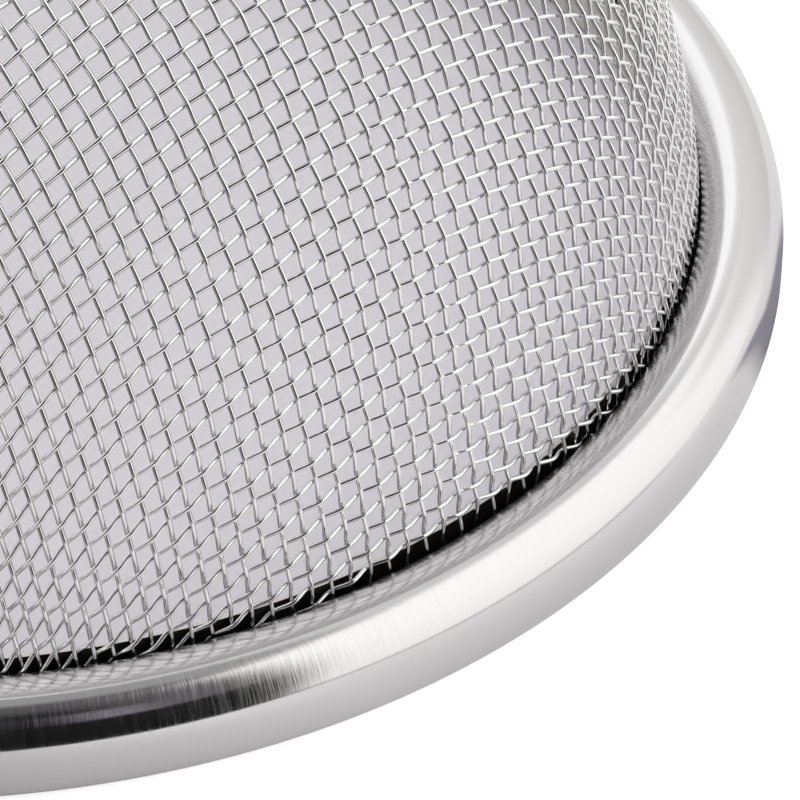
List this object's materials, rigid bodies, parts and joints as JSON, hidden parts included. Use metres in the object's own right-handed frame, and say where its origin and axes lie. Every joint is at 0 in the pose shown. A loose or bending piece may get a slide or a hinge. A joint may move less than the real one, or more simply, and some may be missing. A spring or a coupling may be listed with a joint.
{
  "type": "mesh strainer",
  "caption": "Round kitchen strainer: a deep bowl of woven wire cloth held in a wide polished rolled steel rim, standing mouth down on the rim's flat base.",
  "frame": {"origin": "centre of the rim's flat base, on the bowl's axis", "axes": "+Z along the bowl's axis from the mouth to the crown; +X and +Y lie across the rim with no preferred direction"},
  "size_m": [0.2, 0.2, 0.0829],
  "materials": {
    "polished_rim": "stainless steel sheet, mirror polished, with fine polishing marks across the ring",
    "pressed_ring": "stainless steel sheet, bright as rolled",
    "drawn_wire": "drawn steel wire, dull",
    "wire_cloth": "plain woven bright stainless steel wire"
  },
  "bodies": {
    "root": {"rim_shell": "polished_rim", "clamp_ring": "pressed_ring", "hem_hoop": "drawn_wire", "mesh_bowl": "wire_cloth"}
  },
  "joints": []
}
